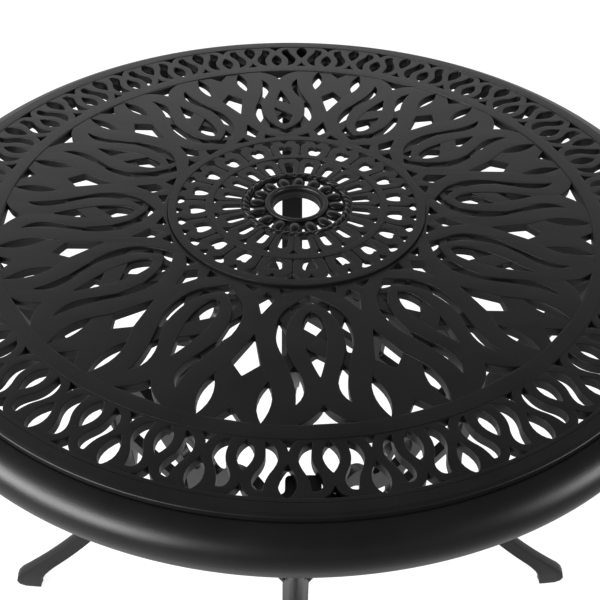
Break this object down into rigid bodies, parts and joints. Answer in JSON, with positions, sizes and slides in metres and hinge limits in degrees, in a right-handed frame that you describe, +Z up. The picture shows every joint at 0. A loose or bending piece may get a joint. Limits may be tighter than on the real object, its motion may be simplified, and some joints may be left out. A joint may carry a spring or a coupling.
{
  "type": "umbrella table",
  "caption": "Round cast-aluminium patio table with a woven openwork top, a rolled rim, a raised collar round the umbrella hole, S-curved legs and openwork stretchers.",
  "frame": {"origin": "on the floor, under the centre of the round top", "axes": "+Z up, through the umbrella hole; the four legs stand on +X, +Y, -X and -Y"},
  "size_m": [0.856, 0.856, 0.727],
  "materials": {
    "powder_coated_castings": "satin black powder coat on cast aluminium",
    "foot_glides": "matt black nylon",
    "bolts": "blackened steel"
  },
  "bodies": {
    "root": {"border_openwork": "powder_coated_castings", "field_openwork": "powder_coated_castings", "medallion_openwork": "powder_coated_castings", "petal_ring": "powder_coated_castings", "rope_ring": "powder_coated_castings", "umbrella_collar": "powder_coated_castings", "rim_casting": "powder_coated_castings", "leg_plate_right": "powder_coated_castings", "leg_plate_back": "powder_coated_castings", "leg_plate_left": "powder_coated_castings", "leg_plate_front": "powder_coated_castings", "leg_bolt_right_a": "bolts", "leg_bolt_right_b": "bolts", "leg_bolt_back_a": "bolts", "leg_bolt_back_b": "bolts", "leg_bolt_left_a": "bolts", "leg_bolt_left_b": "bolts", "leg_bolt_front_a": "bolts", "leg_bolt_front_b": "bolts", "leg_right": "powder_coated_castings", "leg_back": "powder_coated_castings", "leg_left": "powder_coated_castings", "leg_front": "powder_coated_castings", "foot_glide_right": "foot_glides", "foot_glide_back": "foot_glides", "foot_glide_left": "foot_glides", "foot_glide_front": "foot_glides", "stretcher_right_back": "powder_coated_castings", "stretcher_back_left": "powder_coated_castings", "stretcher_left_front": "powder_coated_castings", "stretcher_front_right": "powder_coated_castings"}
  },
  "joints": []
}
